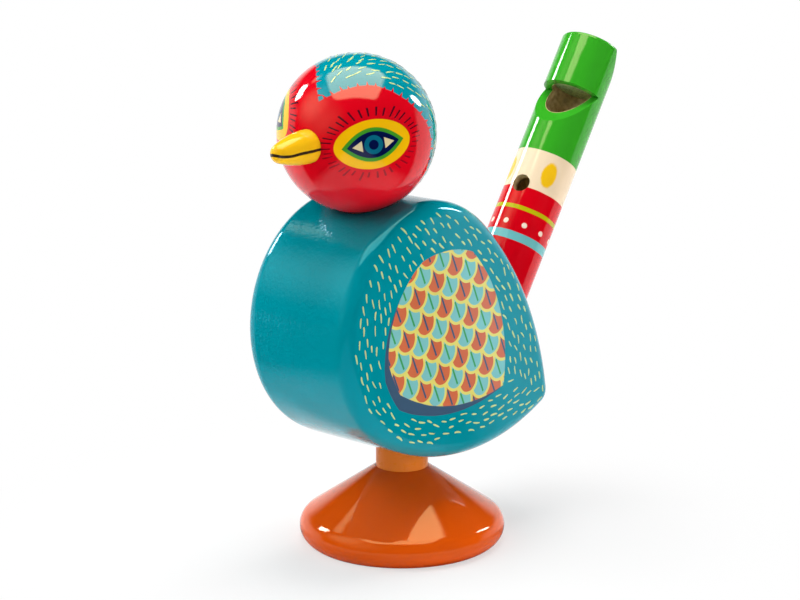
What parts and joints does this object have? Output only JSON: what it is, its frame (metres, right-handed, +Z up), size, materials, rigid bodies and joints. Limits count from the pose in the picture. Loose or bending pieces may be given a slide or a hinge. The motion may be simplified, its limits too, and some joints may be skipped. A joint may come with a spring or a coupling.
{
  "type": "bird call",
  "caption": "Painted wooden bird call: a flat-sided bird with a ball head on a turned foot, blown at a leaning fipple-whistle tail with a finger hole.",
  "frame": {"origin": "centre of the flat underside of the foot", "axes": "+Z up, the bird faces -Y and its tail whistle leans back to +Y, +X is the bird's left side"},
  "size_m": [0.0544, 0.129, 0.1301],
  "materials": {
    "body_paint": "turquoise gloss lacquer",
    "head_paint": "red gloss lacquer with a turquoise cap",
    "beak_paint": "yellow gloss lacquer",
    "foot_paint": "orange gloss lacquer",
    "stem_paint": "light orange lacquer",
    "tube_paint": "green, cream and red gloss lacquer in bands",
    "bare_wood": "bare beech"
  },
  "bodies": {
    "root": {"body": "body_paint", "head": "head_paint", "beak": "beak_paint", "foot": "foot_paint", "stem": "stem_paint", "neck_dowel": "bare_wood", "whistle_tube": "tube_paint", "fipple_block": "bare_wood"}
  },
  "joints": []
}
